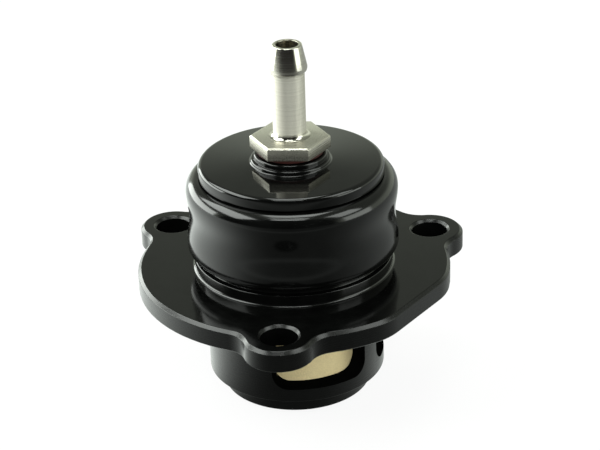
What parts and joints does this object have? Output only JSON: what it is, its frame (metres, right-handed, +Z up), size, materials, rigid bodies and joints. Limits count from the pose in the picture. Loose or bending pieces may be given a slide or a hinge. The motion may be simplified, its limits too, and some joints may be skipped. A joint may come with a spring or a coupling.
{
  "type": "blow off valve",
  "caption": "Piston blow off valve with a flanged black housing, side vents, a sprung sliding piston, a screwed cap and a hose barb on top.",
  "frame": {"origin": "on the surface that the valve stands on, under the middle of the flange's outline, at the open end of the spigot", "axes": "+Z up along the valve, from the spigot to the hose fitting; -Y towards the bolt ear at the front; the valve's own axis stands 2.9 mm towards +Y"},
  "size_m": [0.0618, 0.0636, 0.067],
  "materials": {
    "body": "black anodised, glossy above the flange, satin below it",
    "cap": "black anodised, polished",
    "fitting": "turned nickel, satin",
    "fibre": "red brown sealing fibre",
    "piston": "pale gold anodised aluminium",
    "rubber": "black seal rubber",
    "spring": "drawn spring wire"
  },
  "bodies": {
    "housing": {"body": "body", "cap": "cap", "cap_ring": "rubber", "fitting_washer": "fibre", "flange_ring": "rubber", "hose_fitting": "fitting", "spring": "spring"},
    "piston": {"piston": "piston", "piston_ring_lower": "rubber", "piston_ring_upper": "rubber"}
  },
  "joints": [
    {"name": "piston_slide", "type": "slide", "parent": "housing", "child": "piston", "axis": [0, 0, 1], "range_m": [0, 0.01], "stiffness_N_per_m": 1200, "springref_m": -0.012, "deforming": ["spring"]}
  ]
}
